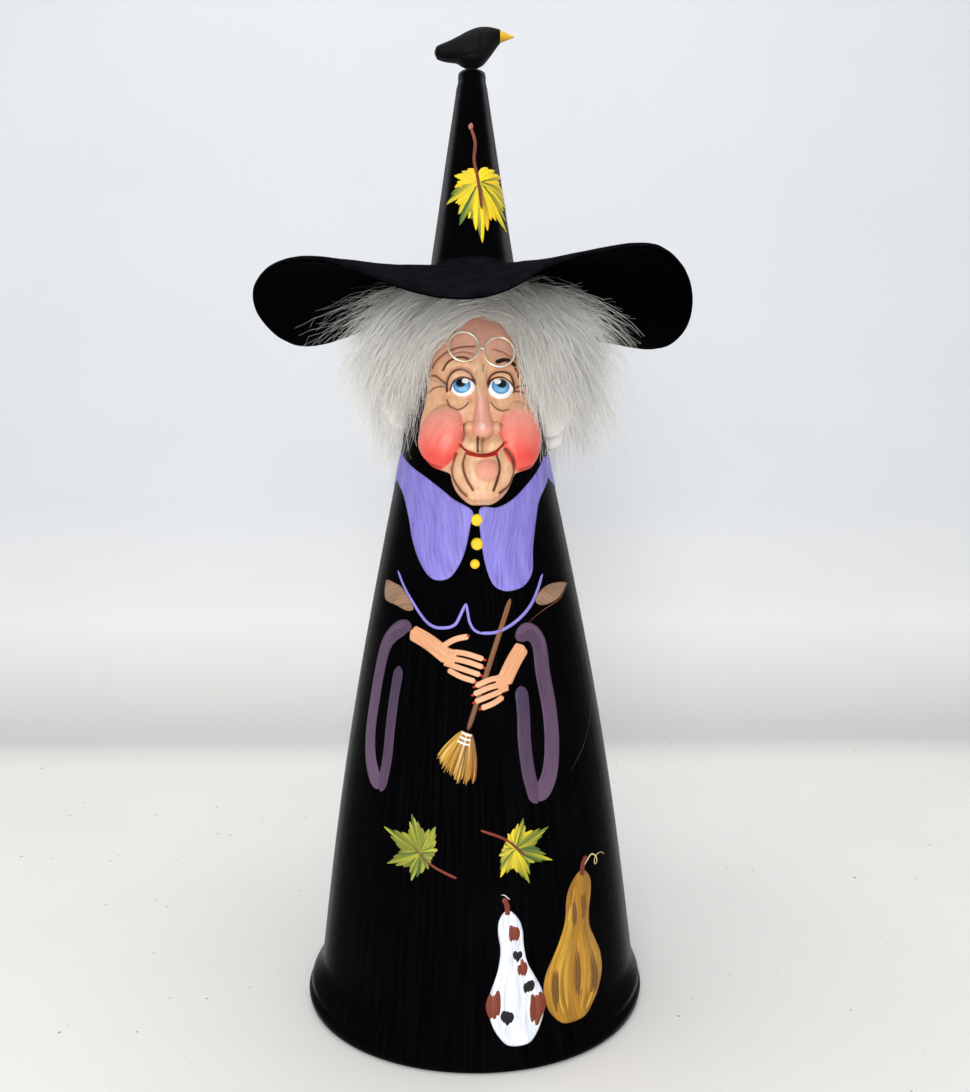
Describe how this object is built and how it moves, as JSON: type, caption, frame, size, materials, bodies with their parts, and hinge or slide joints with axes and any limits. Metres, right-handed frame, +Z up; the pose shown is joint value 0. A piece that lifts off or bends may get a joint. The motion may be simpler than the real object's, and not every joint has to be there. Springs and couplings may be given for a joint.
{
  "type": "decorative figure",
  "caption": "Hand-painted folk-art witch on a tall canvas-covered cone, with a wavy felt brim, wool hair, wire spectacles and a crow on the tip",
  "frame": {"origin": "centre of the foot on the surface that the figure stands on", "axes": "+Z up along the cone, the face looks along -Y, +X is on the viewer's right"},
  "size_m": [0.17, 0.17, 0.3797],
  "materials": {
    "board": "plain sawn board",
    "card": "plain rolled card",
    "black_canvas": "canvas under matt black brush paint",
    "plug_wood": "painted matt black",
    "painted_clay": "modelling clay, painted flesh with red cheeks, satin",
    "brass_wire": "bright thin wire",
    "grey_wool": "loose carded wool",
    "black_felt": "stiff felt under matt black paint",
    "steel_wire": "plain wire",
    "black_clay": "modelling clay painted black",
    "yellow_clay": "modelling clay painted yellow"
  },
  "bodies": {
    "figure": {"base_board": "board", "core_cone": "card", "gown_cover": "black_canvas", "foot_roll": "black_canvas", "tip_plug": "plug_wood", "face": "painted_clay", "spectacles": "brass_wire", "hair_left": "grey_wool", "hair_right": "grey_wool", "hair_fringe": "grey_wool", "hair_back": "grey_wool"},
    "hat": {"hat_brim": "black_felt"},
    "crow": {"crow_pin": "steel_wire", "crow_body": "black_clay", "crow_beak": "yellow_clay"}
  },
  "joints": [
    {"name": "hat_lift", "type": "slide", "parent": "figure", "child": "hat", "axis": [0, 0, 1], "range_m": [0, 0.06]},
    {"name": "crow_swivel", "type": "hinge", "parent": "figure", "child": "crow", "pos_m": [0, 0, 0.363], "axis": [0, 0, 1], "continuous": true}
  ]
}
